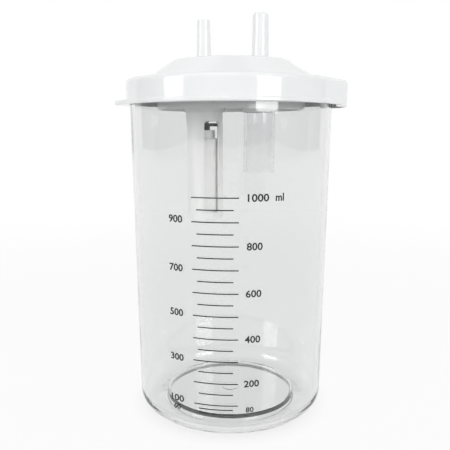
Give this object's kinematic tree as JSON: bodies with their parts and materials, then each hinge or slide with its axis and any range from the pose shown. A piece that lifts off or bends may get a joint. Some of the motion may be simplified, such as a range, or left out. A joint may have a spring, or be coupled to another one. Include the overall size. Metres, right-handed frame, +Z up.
{
  "type": "suction canister",
  "caption": "Clear graduated suction jar with a pouring spout, a push-on lid with two hose nozzles and a float valve that shuts the vacuum port.",
  "frame": {"origin": "on the jar's axis, on the surface that it stands on", "axes": "+Z up along the jar's axis, +X towards the pouring spout and the lid's beak, -Y the front with the scale"},
  "size_m": [0.126, 0.1142, 0.2182],
  "materials": {
    "jar_plastic": "clear, polished moulded plastic",
    "scale_ink": "printed black ink",
    "lid_plastic": "glossy white moulded plastic",
    "gasket_rubber": "soft pale seal",
    "cage_plastic": "milky moulded plastic",
    "float_plastic": "milky moulded plastic",
    "seal_rubber": "black moulded rubber",
    "tube_plastic": "clear extruded tube"
  },
  "bodies": {
    "jar_body": {"jar": "jar_plastic", "graduation_marks": "scale_ink"},
    "lid_body": {"lid": "lid_plastic", "vacuum_nozzle": "lid_plastic", "patient_nozzle": "lid_plastic", "vacuum_stub": "lid_plastic", "patient_stub": "lid_plastic", "rim_gasket": "gasket_rubber", "float_cage": "cage_plastic", "float_retainer": "cage_plastic", "drop_tube": "tube_plastic"},
    "float_unit": {"float_body": "float_plastic", "float_seal": "seal_rubber"}
  },
  "joints": [
    {"name": "lid_lift", "type": "slide", "parent": "jar_body", "child": "lid_body", "axis": [0, 0, 1], "range_m": [0, 0.08]},
    {"name": "float_rise", "type": "slide", "parent": "lid_body", "child": "float_unit", "axis": [0, 0, 1], "range_m": [0, 0.0064]}
  ]
}
